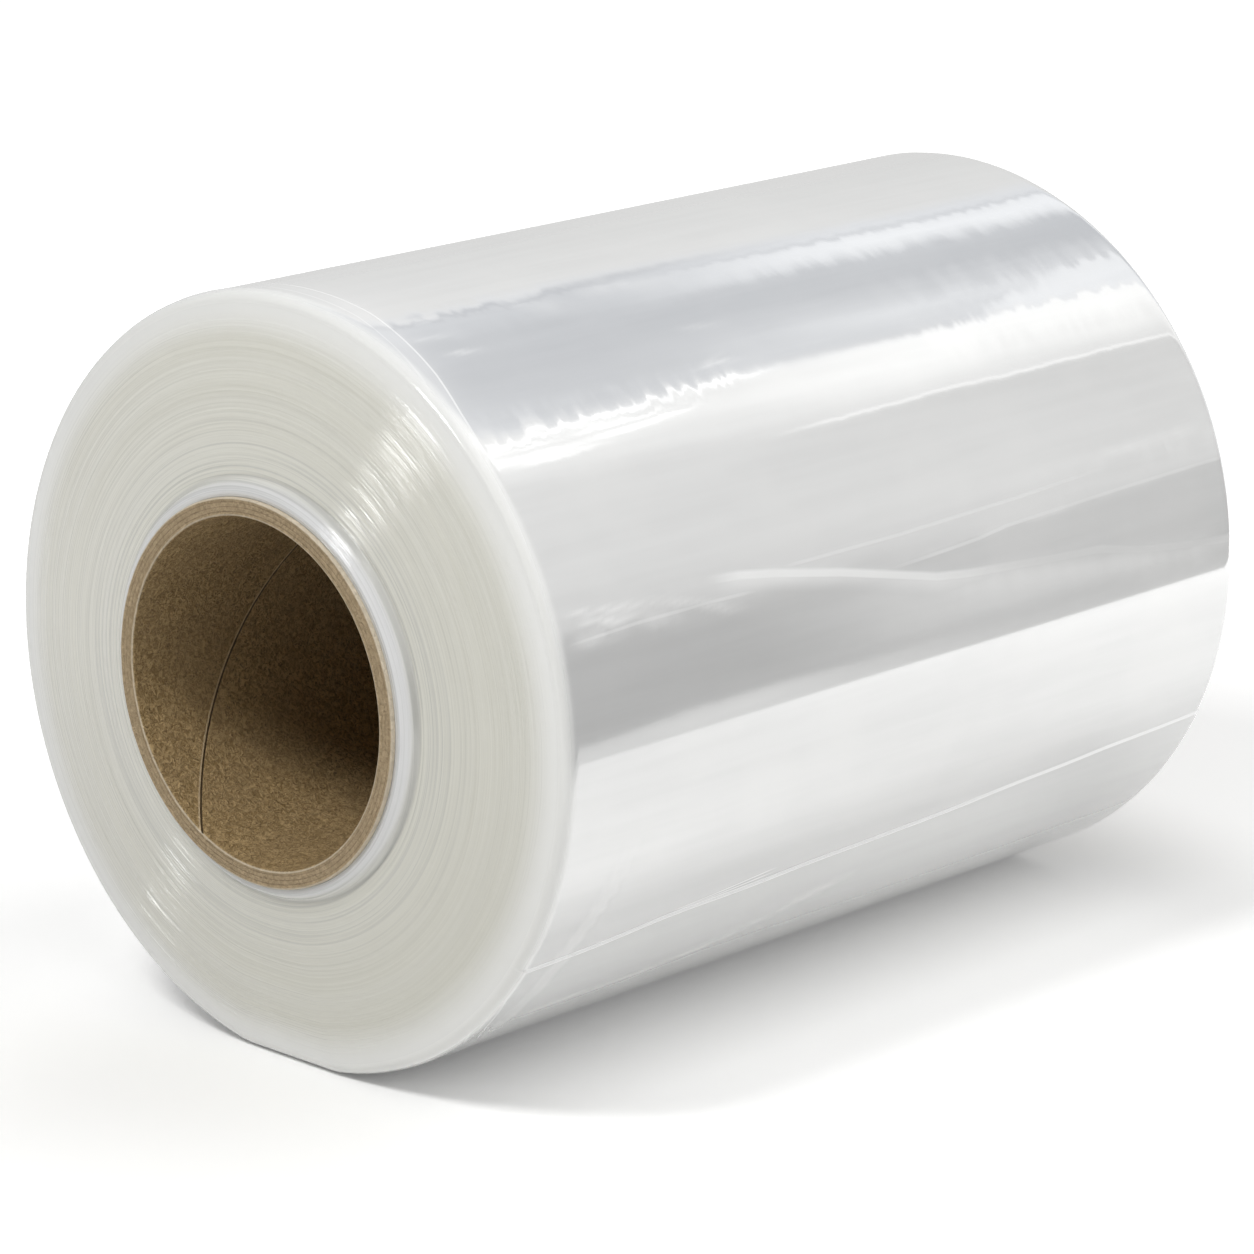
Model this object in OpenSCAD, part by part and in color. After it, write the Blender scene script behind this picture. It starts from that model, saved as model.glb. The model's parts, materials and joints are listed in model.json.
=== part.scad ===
// A roll of clear film wound on a spiral paperboard core, lying on its side.
// The axis of the roll runs along X. The end at -X is the one whose turns fall back
// from the core, and Z = 0 is the flat on which the soft roll has settled.

/* [Core] */
// Bore of the core
core_bore_d = 76.2; // [60:0.1:80]
// Thickness of the core's wall
core_wall = 4; // [3:0.1:6]
// How far each end of the core stands out past the first turn of film
core_proud = 1; // [0.4:0.1:3]
// Bevel on the edges of the core's ends
core_bevel = 0.4; // [0.2:0.1:0.8]
// Number of plies that show as rings on the core's ends
ply_count = 4; // [2:1:5]
// Depth of the line between two plies
ply_line_depth = 0.2; // [0.1:0.05:0.4]

/* [Core seam] */
// Advance of the spiral seam along the bore in one turn
seam_pitch = 175; // [120:1:240]
// Width of the gap at the seam
seam_w = 0.7; // [0.4:0.1:1.2]
// Depth of the gap at the seam
seam_depth = 0.35; // [0.2:0.05:0.6]
// Angle of the seam at the -X end, from the bottom of the bore towards +Y
seam_angle = 26; // [0:1:90]

/* [Film] */
// Width of the film
film_w = 220; // [120:1:400]
// Diameter over the last turn
roll_d = 170; // [140:1:240]
// Clearance between the core and the first turn
wind_gap = 0.02; // [0.01:0.01:0.1]
// How far the turns have crept along the core, from the first to the last
creep = 7; // [2:0.5:12]
// Share of that creep that lies in the hollow beside the core
root_share = 0.36; // [0.2:0.01:0.6]
// Radius of the soft edge on the outermost turns
edge_r = 3; // [1.5:0.1:5]
// Depth of the flat that the roll's weight has pressed into it
flat_depth = 1.2; // [0.7:0.1:2.5]

/* [Turns] */
// Number of bands of turns that show on each end
bands = 13; // [6:1:16]
// Most that one band of turns stands out past its neighbours
band_step = 0.6; // [0.2:0.05:1]

/* [Tail] */
// Thickness of the loose last turn where it laps over the roll
tail_t = 0.3; // [0.15:0.05:0.5]
// Angle of the free edge of the last turn, from the bottom of the roll towards -Y
tail_angle = 60; // [40:1:110]

/* [Hidden] */

core_bore_r = core_bore_d/2;
core_r = core_bore_r + core_wall;
core_len = film_w + 2*core_proud;
first_turn_r = core_r + wind_gap;
roll_r = roll_d/2;
total_len = core_proud + creep + film_w;
axis_h = roll_r - flat_depth;

// Segments round the core, round the film and along one turn of the seam
core_fn = 60;
film_fn = 84;
seam_steps = 60;
// Segments in the soft edge of the outermost turns
edge_steps = 4;
// How quickly the hollow beside the core runs out, in shares of the winding
root_run = 0.08;
// Angle from one band's step to the next, which keeps the steps from repeating
band_turn = 137.5;
// Most that one band's radius is off its even place, in shares of a band
band_stray = 0.3;
// Radial width of the step between two bands
step_w = 0.15;
// Half the width of the line between two plies
ply_line_half_w = 0.15;
// How far a cutter reaches past the surface that it cuts
over = 1;

// Stands a profile of radius and length up as a body round the roll's axis,
// from the bottom of the roll through an angle towards -Y
module round_axis(angle = 360) {
    translate([-total_len/2, 0, axis_h])
        rotate([0, 90, 0])
            rotate_extrude(angle = -angle)
                children();
}

// Line between two plies, as three points on a core end that faces down the length axis
function ply_line(r) = [
    [r - ply_line_half_w, 0],
    [r, ply_line_depth],
    [r + ply_line_half_w, 0]
];

// Half of the core's outline at one end, from the bore to the outside
function core_end() = concat(
    [[core_bore_r, core_bevel], [core_bore_r + core_bevel, 0]],
    [for (i = [1:ply_count - 1]) each ply_line(core_bore_r + core_wall*i/ply_count)],
    [[core_r - core_bevel, 0], [core_r, core_bevel]]
);

// The points of an end turned to face the other way, at a distance along the axis
function far_end(points, length) = [
    for (i = [len(points) - 1:-1:0]) [points[i][0], length - points[i][1]]
];

module core_profile() {
    polygon(concat(core_end(), far_end(core_end(), core_len)));
}

// Corners of the seam's wedge at one step along the bore
function seam_ring(angle, x) =
    let (inner = core_bore_r - over, outer = core_bore_r + seam_depth)
    let (half_w = seam_w/2*(1 + over/seam_depth))
    [
        [x - half_w, -sin(angle)*inner, -cos(angle)*inner],
        [x + half_w, -sin(angle)*inner, -cos(angle)*inner],
        [x, -sin(angle)*outer, -cos(angle)*outer]
    ];

// A wedge that follows the seam, a little past both ends of the core
module seam_cutter() {
    run_out = 2*over;
    turns = (core_len + 2*run_out)/seam_pitch;
    steps = ceil(turns*seam_steps);
    rings = [
        for (i = [0:steps])
            let (x = -run_out + (core_len + 2*run_out)*i/steps)
            seam_ring(-seam_angle - 360*x/seam_pitch, x)
    ];
    sides = [
        for (i = [0:steps - 1], j = [0:2])
            let (k = (j + 1) % 3)
            each [
                [3*i + j, 3*i + 3 + j, 3*i + k],
                [3*i + k, 3*i + 3 + j, 3*i + 3 + k]
            ]
    ];
    polyhedron(
        points = [for (ring = rings) each ring],
        faces = concat([[0, 1, 2]], sides, [[3*steps + 2, 3*steps + 1, 3*steps]])
    );
}

module paperboard_core() {
    color("#a98a62")
        difference() {
            round_axis($fn = core_fn)
                core_profile();
            translate([-total_len/2, 0, axis_h])
                seam_cutter();
        }
}

// Distance from the core's end to the edge of a turn, at a share u of the winding
function set_back(u) =
    core_proud + creep*(root_share*(1 - exp(-u/root_run)) + (1 - root_share)*pow(u, 2));

// Share of the full step at a band, which dies out at the first and the last of them
function fade(i) = sin(180*i/bands);

// Radius at which a band starts, a little off its even place
function band_r(i) =
    first_turn_r
    + (roll_r - edge_r - first_turn_r)*(i + band_stray*cos(i*band_turn)*fade(i))/bands;

// How far a band of turns stands out past its neighbours
function band_out(i) = band_step/2*sin(i*band_turn)*fade(i);

// Edges of the turns on the end at -X, from the core to the start of the soft edge:
// each band is a sloping land, and a narrow step leads to the next
function turn_edges() = [
    for (i = [0:bands - 1])
        each [
            [band_r(i) + (i > 0 ? step_w : 0), set_back(i/bands) + band_out(i)],
            [band_r(i + 1), set_back((i + 1)/bands) + (i < bands - 1 ? band_out(i) : 0)]
        ]
];

// Points of the soft edge after the last band, on an end that faces down the length axis
function soft_edge(start) = [
    for (i = [1:edge_steps])
        let (a = 90*i/edge_steps)
        [start[0] + edge_r*sin(a), start[1] + edge_r*(1 - cos(a))]
];

// All turns are equally wide, so each edge at +X lies one film width past the one at -X
module film_profile() {
    edges = turn_edges();
    last = edges[len(edges) - 1];
    near_side = concat(edges, soft_edge(last));
    far_edges = far_end([for (p = edges) [p[0], -p[1]]], film_w);
    far_soft = far_end(soft_edge([last[0], 0]), last[1] + film_w);
    polygon(concat(near_side, far_soft, far_edges));
}

// The loose last turn, which comes up from under the roll to its free edge
module tail_profile() {
    near = core_proud + creep;
    far = near + film_w;
    polygon([
        [roll_r - tail_t, near + edge_r/2],
        [roll_r + tail_t, near + edge_r],
        [roll_r + tail_t, far - edge_r],
        [roll_r - tail_t, far - edge_r/2]
    ]);
}

module wound_film() {
    color([0.86, 0.87, 0.84, 0.85])
        difference() {
            union() {
                round_axis($fn = film_fn)
                    film_profile();
                round_axis(tail_angle, $fn = film_fn)
                    tail_profile();
            }
            translate([-total_len, -roll_d, -roll_d])
                cube([2*total_len, 2*roll_d, roll_d]);
        }
}

paperboard_core();
wound_film();
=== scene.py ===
import json
import math

import bpy
import numpy as np
from mathutils import Matrix, Vector


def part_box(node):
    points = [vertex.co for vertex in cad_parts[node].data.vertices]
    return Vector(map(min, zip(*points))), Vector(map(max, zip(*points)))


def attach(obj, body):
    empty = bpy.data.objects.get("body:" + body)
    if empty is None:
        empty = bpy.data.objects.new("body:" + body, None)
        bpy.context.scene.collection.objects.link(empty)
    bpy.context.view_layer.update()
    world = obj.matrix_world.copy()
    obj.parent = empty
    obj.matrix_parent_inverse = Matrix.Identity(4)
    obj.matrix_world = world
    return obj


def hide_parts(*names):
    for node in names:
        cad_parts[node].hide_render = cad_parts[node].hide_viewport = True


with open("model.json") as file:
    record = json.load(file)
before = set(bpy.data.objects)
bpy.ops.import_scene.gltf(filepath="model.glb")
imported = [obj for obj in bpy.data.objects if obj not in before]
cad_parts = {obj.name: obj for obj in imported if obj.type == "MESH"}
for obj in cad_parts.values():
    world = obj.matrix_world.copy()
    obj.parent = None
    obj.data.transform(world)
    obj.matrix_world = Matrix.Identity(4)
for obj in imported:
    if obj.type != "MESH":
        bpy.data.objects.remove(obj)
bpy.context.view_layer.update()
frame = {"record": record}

MM = 0.001
SEED = 7

# Sizes of the roll, in millimetres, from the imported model
BORE = next(m for m in frame["record"]["mounts"] if m["name"] == "core_bore")
BORE_R = BORE["dims"]["r_mm"]
AXIS_H = BORE["pos_m"][2]/MM
CORE_LO, CORE_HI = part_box("paperboard_core")
FILM_LO, FILM_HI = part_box("wound_film")
CORE_WALL = 4.0
CORE_R = BORE_R + CORE_WALL
CORE_NEAR, CORE_FAR = CORE_LO.x/MM, CORE_HI.x/MM
FIRST_TURN_NEAR, LAST_TURN_FAR = FILM_LO.x/MM, FILM_HI.x/MM
ROLL_R = (FILM_HI.y - FILM_LO.y)/2/MM

# How the winding is shaped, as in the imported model
CREEP = 7.0
ROOT_SHARE = 0.36
ROOT_RUN = 0.08
EDGE_R = 3.0
WIND_GAP = 0.02
FILM_W = LAST_TURN_FAR - FIRST_TURN_NEAR - CREEP
NEAR_RIM = FIRST_TURN_NEAR + CREEP
FIRST_TURN_R = CORE_R + WIND_GAP
LAST_BAND_R = ROLL_R - EDGE_R
BANDS = 13
BAND_TURN = math.radians(137.5)
BAND_STRAY = 0.3

# Free edge of the last turn: its angle from the bottom of the roll at the two ends, how
# far it wavers, and the turn's thickness
TAIL_NEAR = math.radians(-56.0)
TAIL_FAR = math.radians(-64.5)
TAIL_WAVER = math.radians(0.25)
TAIL_T = 0.3


def smooth(edge0, edge1, v):
    """Rises from 0 to 1 between two edges."""
    t = np.clip((v - edge0)/(edge1 - edge0), 0, 1)
    return t*t*(3 - 2*t)


def ripple(seed, lo, hi, count, power=1.0):
    """A repeatable one-dimensional ripple with wavelengths from lo to hi."""
    rng = np.random.default_rng(seed)
    waves = np.exp(rng.uniform(np.log(lo), np.log(hi), count))
    size = (waves/hi)**power
    shift = rng.uniform(0, 2*np.pi, count)
    scale = 1/np.sqrt((size**2).sum()/2)

    def value(v):
        v = np.asarray(v, float)[..., None]
        return scale*(size*np.cos(2*np.pi*v/waves + shift)).sum(-1)
    return value


def swell(seed, turns, lengths, count, power=1.0):
    """A repeatable ripple over angle and length whose crests run nearly along the axis."""
    rng = np.random.default_rng(seed)
    k = rng.integers(turns[0], turns[1] + 1, count)
    m = rng.choice([-1, 1], count)*2*np.pi/rng.uniform(lengths[0], lengths[1], count)
    size = (turns[0]/k)**power
    shift = rng.uniform(0, 2*np.pi, count)
    scale = 1/np.sqrt((size**2).sum()/2)

    def value(angle, x):
        total = np.zeros(np.broadcast(angle, x).shape)
        for ki, mi, si, pi in zip(k, m, size, shift):
            total += si*np.cos(ki*angle + mi*x + pi)
        return scale*total
    return value


def linked(name, data):
    """An object with this data, in the scene."""
    obj = bpy.data.objects.new(name, data)
    bpy.context.scene.collection.objects.link(obj)
    return obj


def grid_object(name, points, attributes, second=None):
    """Builds a closed ring of rows and columns as one mesh, with a float attribute per name.

    Rows marked as second take the object's second material."""
    rows, cols = points.shape[:2]
    mesh = bpy.data.meshes.new(name)
    index = np.arange(rows*cols).reshape(rows, cols)
    below = np.roll(index, -1, 0)
    right = np.roll(index, -1, 1)
    across = np.roll(below, -1, 1)
    quads = np.stack([index, right, across, below], -1).reshape(-1, 4)
    mesh.from_pydata((points*MM).reshape(-1, 3).tolist(), [], quads.tolist())
    for key, values in attributes.items():
        layer = mesh.attributes.new(key, "FLOAT", "POINT")
        flat = np.broadcast_to(values, (rows, cols)).ravel()
        layer.data.foreach_set("value", flat.astype(np.float32))
    mesh.polygons.foreach_set("use_smooth", np.ones(rows*cols, bool))
    if second is not None:
        mesh.polygons.foreach_set("material_index", np.repeat(second, cols).astype(np.int32))
    mesh.update()
    return linked(name, mesh)


def columns_of(rows):
    """The radius, place and kind of each row, as three columns."""
    return [np.array(values)[:, None] for values in zip(*rows)]


def around(r, angle, x):
    """Points at a radius and an angle from the bottom of the roll, towards +Y."""
    return np.stack([x, r*np.sin(angle), AXIS_H - r*np.cos(angle)], -1)


# Film

# Radius of the few turns beside the core that stand out with it, on the +Y and the -Y side,
# how far they stand out, and how deep the groove round them is
COLLAR_R = (43.3, 46.8)
COLLAR_OUT = 0.9
COLLAR_GROOVE = 0.22


def set_back(u):
    """How far a turn has crept from the first one, at a share of the winding."""
    return CREEP*(ROOT_SHARE*(1 - np.exp(-u/ROOT_RUN)) + (1 - ROOT_SHARE)*u**2)


def past_collar(r, angle):
    """How far a turn lies outside the collar, in millimetres."""
    towards = 0.5 - 0.5*np.sin(angle + 0.5)
    return r - COLLAR_R[0] - (COLLAR_R[1] - COLLAR_R[0])*towards


def collar(r, angle):
    """How far the collar's turns stand out, and the groove round them."""
    past = past_collar(r, angle)
    inner = smooth(FIRST_TURN_R - 0.1, FIRST_TURN_R + 1.4, r)
    outer = smooth(0.3, -0.5, past)
    groove = COLLAR_GROOVE*np.exp(-((past - 0.5)/0.45)**2)
    return groove - COLLAR_OUT*inner*outer


def band_offset(r):
    """How far each band of turns stands out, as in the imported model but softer."""
    i = np.arange(BANDS + 1)
    fade = np.sin(np.pi*i/BANDS)
    share = (i + BAND_STRAY*np.cos(i*BAND_TURN)*fade)/BANDS
    edge = FIRST_TURN_R + (LAST_BAND_R - FIRST_TURN_R)*share
    out = np.sin(i*BAND_TURN)*fade
    return np.interp(r, (edge[1:] + edge[:-1])/2, out[:-1])


def pressed(r, angle):
    """How far a turn is pushed up by the flat under the roll."""
    wrapped = (angle + np.pi) % (2*np.pi) - np.pi
    under = np.abs(wrapped) < 0.5
    flat = np.where(under, ROLL_R - AXIS_H/np.cos(np.clip(wrapped, -0.5, 0.5)), -1)
    share = np.clip((r - CORE_R)/(ROLL_R - CORE_R), 0, 1.01)
    return np.maximum(flat, 0)*share**1.5


def tail_angle(x):
    """Angle of the last turn's free edge along the roll, which slants and wavers a little."""
    along = (x - FIRST_TURN_NEAR)/(LAST_TURN_FAR - FIRST_TURN_NEAR)
    waver = ripple(SEED + 40, 30, 160, 6)(x)*smooth(0.02, 0.2, along)*smooth(0.99, 0.8, along)
    return TAIL_NEAR + (TAIL_FAR - TAIL_NEAR)*along + TAIL_WAVER*waver


def past_path(angle, x, path):
    """Distance round the roll below a path of (x, degrees) points on the side."""
    centre = np.radians(np.interp(x, [p[0] for p in path], [p[1] for p in path]))
    return ((angle - centre + np.pi) % (2*np.pi) - np.pi)*ROLL_R


def between(x, lo, hi, run_in, run_out):
    """1 between two places along the roll, with a run-in and a run-out."""
    return smooth(lo, lo + run_in, x)*smooth(hi, hi - run_out, x)


def zone(angle, lo, hi, edge):
    """1 between two angles in degrees from the bottom, fading over an edge."""
    deg = side_degrees(angle)
    return smooth(lo - edge, lo, deg)*smooth(hi + edge, hi, deg)


def side_degrees(angle):
    """Angle in degrees from the bottom of the roll, from -360 to 0 towards -Y."""
    return np.degrees((angle + 2*np.pi) % (2*np.pi)) - 360


# Creases that the shader draws as crisp painted highlights: points along the roll in millimetres
# and in degrees from the bottom
LONG_CREASE = [(-60, -110), (-50, -109.5), (-40, -108.5), (-20, -106), (0, -103), (10, -101.5),
               (20, -100.7), (50, -99.2), (65, -98.6), (80, -96.6), (100, -95.1), (110, -94.5)]
BRANCH_CREASE = [(-8, -104.4), (15, -105), (25, -105.3), (35, -106), (80, -106.8), (110, -107.1)]
FINE_CREASE = [(-104, -106.4), (-82, -107), (-60, -107), (-42, -106.8), (-38, -109),
               (0, -109), (40, -109.6), (70, -110.4)]

# Where along the roll each crease's painted highlight shows, with its run-in and its run-out, and
# how strongly
LONG_SHOWN = (-61, 130, 12, 10)
BRANCH_SHOWN, BRANCH_STRENGTH = (-10, 125, 24, 10), 0.55
FINE_SHOWN, FINE_STRENGTH = ((-104, -42, 8, 12), (-39, 74, 10, 30)), 0.4

# Soft folds: such points, then half the fold's width, its height and how strongly its painted
# highlight whitens it
FOLDS = [
    ([(-50, -109), (-20, -105.6), (0, -102.6), (20, -100.2)], 1.7, 0.02, 0.35),
    ([(10, -99.8), (30, -98.6), (60, -96.8), (80, -95), (112, -93)], 3.6, 0.0, 0.38),
    ([(-103, -109.6), (-89, -108.8), (-73, -108.8)], 2.2, 0.03, 0.3),
    ([(-105, -110.8), (-96, -110.4), (-86, -109.7), (-72, -108.9)], 0.5, 0.03, 0.6),
    ([(-101, -108.3), (-94, -109.1), (-88, -108.0), (-76, -108.3)], 0.5, 0.04, 0.7),
    ([(-99, -110.2), (-90, -107.6), (-83, -107.2)], 0.5, 0.03, 0.45),
    ([(-80, -109.7), (-65, -107.5), (-55, -105.3), (-45, -104.4)], 1.0, 0.02, 0.5),
    ([(-104, -106.3), (-82, -105.4)], 1.1, 0.03, 0.4),
    ([(68, -112.2), (112, -112.8)], 1.5, 0.05, 0.4),
    ([(-100, -157.6), (-84, -157.0)], 0.7, 0.04, 0.8),
    ([(-97, -153.5), (-80, -152.6)], 0.7, 0.04, 0.9),
    ([(-97, -162), (-80, -161.2)], 0.7, 0.04, 0.8),
    ([(-70, -161.2), (-56, -160.0)], 0.8, 0.04, 0.7),
    ([(-42, -161), (-26, -160)], 0.9, 0.05, 0.35),
    ([(-66, -159.6), (-46, -158.2)], 3.2, 0.0, 0.3),
    ([(-50, -160.4), (-12, -159.2)], 2.6, 0.0, 0.3),
    ([(-38, -140.6), (-29, -141.2), (-18, -140.4)], 0.6, 0.03, 0.9),
    ([(-33, -142), (-22, -142.4)], 0.5, 0.02, 0.7),
    ([(-34, -148.4), (-14, -147.4)], 0.8, 0.03, 0.35),
    ([(-94, -42.3), (-60, -42.5), (-40, -44.5), (-22, -47.5), (-15, -49.5), (4, -53)],
     1.3, 0.04, 0.85),
]

# How long a soft fold takes to come up and to run out, in millimetres along the roll
FOLD_RUN = (10, 14)

# Edge of the outermost layer beside the near rim, and of a wider one low on the roll:
# points in degrees from the bottom and along the roll in millimetres
RIM_EDGE = [(-190, -97), (-166, -97.5), (-158, -99), (-150, -100.5), (-143, -102.5),
            (-134, -104), (-60, -104), (-50, -104), (-42, -102), (-35, -98), (-26, -92)]
LOW_LAYER = [(-78, -81), (-68, -85), (-60, -90), (-54, -92.5), (-45, -94.5), (-30, -95)]


def fold_shape(angle, x, path, width):
    """1 along a soft fold, less towards its sides and its ends."""
    ends = between(x, path[0][0], path[-1][0], *FOLD_RUN)
    return ends*np.exp(-(past_path(angle, x, path)/width)**2)


def fold_highlights_and_layers(angle, x):
    """How much paler than clear film the side is painted: painted highlights along its folds, and
    the paler layers by its rim.
    """
    fleck = 0.8 + 0.16*ripple(SEED + 30, 5, 40, 24, 0.6)(x)
    folds = sum(white*fold_shape(angle, x, path, width) for path, width, _, white in FOLDS)
    deg = side_degrees(angle)
    past = x - np.interp(deg, *zip(*RIM_EDGE))
    beside_edge = 0.22*smooth(0.5, -0.5, past) + 0.2*np.exp(-np.maximum(past, 0)/4)
    veil = smooth(-132, -146, deg)*beside_edge
    low = x - np.interp(deg, *zip(*LOW_LAYER))
    layer = 0.34*smooth(0.5, -0.4, low)*smooth(-5.2, -3.6, low)*smooth(-78, -64, deg)
    return np.clip(folds*fleck + veil + layer, 0, 1)


# Ruffles: how far they tilt the side, the angles that they lie between and their soft edge
# in degrees, and where along the roll they start and are full
RUFFLES = [
    (0.024, (-141.5, -136), 1.5, (-12, -40)),
    (0.010, (-161, -151), 3, (-60, -10)),
    (0.024, (-148, -133), 3, (20, 60)),
    (0.012, (-112.5, -104.5), 2, (-55, -85)),
    (0.03, (-115, -109), 2, (55, 80)),
    (0.02, (-164, -152), 3, (-30, -70)),
]
FAINT_RUFFLE = (0.004, (-176, -94), 4)


def film_looseness(angle, x):
    """How strongly small ruffles tilt the side, from place to place."""
    loose = 0
    for tilt, angles, edge, start in RUFFLES:
        loose = loose + tilt*zone(angle, *angles, edge)*smooth(*start, x)
    tilt, angles, edge = FAINT_RUFFLE
    return loose + tilt*zone(angle, *angles, edge)


def film_rows():
    """Nominal radius, place and kind of each row of the mesh, from the core outwards and back."""
    start, end = NEAR_RIM, NEAR_RIM + FILM_W
    beside_core = np.linspace(FIRST_TURN_R, COLLAR_R[1] + 1.6, 22)
    beyond = np.linspace(COLLAR_R[1] + 2, LAST_BAND_R, 52)
    turn = np.linspace(0, np.pi/2, 10)[1:]
    lip = start + EDGE_R + np.array([0.6, 1.2, 1.8, 2.5, 3.3, 4.2, 5.2, 6.4])
    side = np.linspace(lip[-1] + 1.4, end - EDGE_R - 1.5, 132)
    far = np.linspace(LAST_BAND_R, FIRST_TURN_R, 34)
    rows = [(r, 0.0, "near") for r in np.concatenate([beside_core, beyond])]
    rows += [(LAST_BAND_R + EDGE_R*math.sin(a), start + EDGE_R*(1 - math.cos(a)), "side")
             for a in turn]
    rows += [(ROLL_R, x, "side") for x in np.concatenate([lip, side])]
    rows += [(LAST_BAND_R + EDGE_R*math.cos(a), end - EDGE_R*(1 - math.sin(a)), "side")
             for a in np.append(0, turn[:-1])]
    rows += [(r, 0.0, "far") for r in far]
    return rows


def film_columns():
    """Angles back from the free edge, closest together on the side that the photograph shows."""
    first = [0, 0.12, 0.3]
    front = np.linspace(0.7, 114, 190)
    back = np.linspace(116, 316, 98)
    lap = np.linspace(317.6, 358.2, 36)
    last = [358.6, 359.0, 359.3, 359.6, 359.85]
    return np.radians(np.concatenate([first, front, back, lap, last]))[None, :]


# Heights in millimetres: fine ripple of the turns' edges, and the bands of turns
FINE_STEP = 0.05
BAND_STEP = 0.1
# Wide and narrow waves of the side, its crumples, and the lift of the free edge
WAVE, SMALL_WAVE = 0.03, 0.003
CRUMPLE = 0.01
# Crumpled stretches: two angles in degrees from the bottom, and their soft edge
CRUMPLED_MIDDLE, CRUMPLED_TOP = (-112, -103, 4), (-162, -152, 5)
TAIL_LIFT = 0.15
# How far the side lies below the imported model's, and the most that it may stand above it
SIDE_BELOW = 0.14
SIDE_ABOVE = 0.1
# Half of the most by which painted shade darkens the ends on one side, and that side's angle
FACE_SHADE, FACE_SHADE_AT = 0.16, math.radians(-75)


def turn_edges(r0, angle, u):
    """How far the edge of each turn is off its even place, on both ends."""
    # Fine ripples that drift slowly round the roll
    fine = [ripple(SEED + i, 0.9, 4.0, 60, 0.8)(r0) for i in range(4)]
    mix = [0.5 + 0.5*np.cos(angle*(1 + i % 2) + 1.7*i) for i in range(4)]
    turns = sum(f*m for f, m in zip(fine, mix))/2
    fade = smooth(0.1, 0.16, u)*smooth(1.0, 0.94, u)
    return (FINE_STEP*turns + BAND_STEP*band_offset(r0))*fade + collar(r0, angle)


def side_waves(angle, x0):
    """Waves of the loose outer turns, calm where the roll faces straight ahead, and folds."""
    calm = 1 - 0.97*np.exp(-((np.degrees(angle) + 88)/8)**2)
    waves = swell(SEED + 10, (6, 26), (110, 420), 46)(angle, x0)*WAVE*calm
    waves += swell(SEED + 11, (30, 80), (60, 200), 40)(angle, x0)*SMALL_WAVE*calm
    crumple = swell(SEED + 12, (36, 84), (16, 60), 60, 0.7)(angle, x0)
    beside_rim = smooth(60, 10, x0 - NEAR_RIM)
    rough = zone(angle, *CRUMPLED_MIDDLE)*(0.25 + beside_rim)
    rough += zone(angle, *CRUMPLED_TOP)*beside_rim
    waves += CRUMPLE*crumple*rough
    for path, width, height, _ in FOLDS:
        waves = waves + height*fold_shape(angle, x0, path, width)
    return waves


def side_lift(r0, x0, angle, delta):
    """How far the side stands out, with the last turn's lap and its free edge, which lifts."""
    along = (x0 - NEAR_RIM)/FILM_W
    body = smooth(0.0, 0.012, along)*smooth(1.0, 0.988, along)
    shoulder = smooth(LAST_BAND_R, ROLL_R, r0)
    spiral = TAIL_T*(delta/(2*np.pi) - 1)
    lifted = TAIL_LIFT*np.exp(-(2*np.pi - delta)*ROLL_R/1.2)
    side = (side_waves(angle, x0) + lifted)*body + (spiral - SIDE_BELOW)*shoulder
    return np.minimum(side, SIDE_ABOVE)


def film_attributes(r0, x0, angle, delta, ends):
    """What the film's materials read from its mesh."""
    on_side = smooth(0.0, 3.2, x0 - NEAR_RIM)*smooth(0.2, 2.5, NEAR_RIM + FILM_W - x0)
    deg = side_degrees(angle)
    left_low = smooth(60, -50, x0)*smooth(-72, -58, deg)
    rim_on = smooth(-124, -146, deg) + 0.12*smooth(-146, -124, deg) + 0.5*smooth(-72, -56, deg)
    long_on = between(x0, *LONG_SHOWN)*(0.3 + 0.7*smooth(45, 5, x0))
    branch_on = BRANCH_STRENGTH*between(x0, *BRANCH_SHOWN)*(0.35 + 0.65*smooth(60, 20, x0))
    fine_on = FINE_STRENGTH*sum(between(x0, *shown) for shown in FINE_SHOWN)
    return {
        "turn_r": r0,
        "past_collar": past_collar(r0, angle),
        "dense": np.where(ends, FACE_SHADE + FACE_SHADE*np.cos(angle - FACE_SHADE_AT), 0),
        "arc": delta*ROLL_R,
        "round": -angle*ROLL_R,
        "along": x0,
        "side": np.where(ends, 0, on_side),
        "white": fold_highlights_and_layers(angle, x0),
        # Painted shade: the side darker low down, more so towards the near end
        "dull": 0.16*left_low + 0.14*smooth(-54, -36, deg)*smooth(90, -40, x0),
        "loose": film_looseness(angle, x0),
        "long_crease": past_path(angle, x0, LONG_CREASE),
        "long_on": long_on,
        "branch_crease": past_path(angle, x0, BRANCH_CREASE),
        "branch_on": branch_on,
        "fine_crease": past_path(angle, x0, FINE_CREASE),
        "fine_on": fine_on,
        "rim_gap": x0 - np.interp(deg, *zip(*RIM_EDGE)),
        "rim_on": rim_on,
    }


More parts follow.
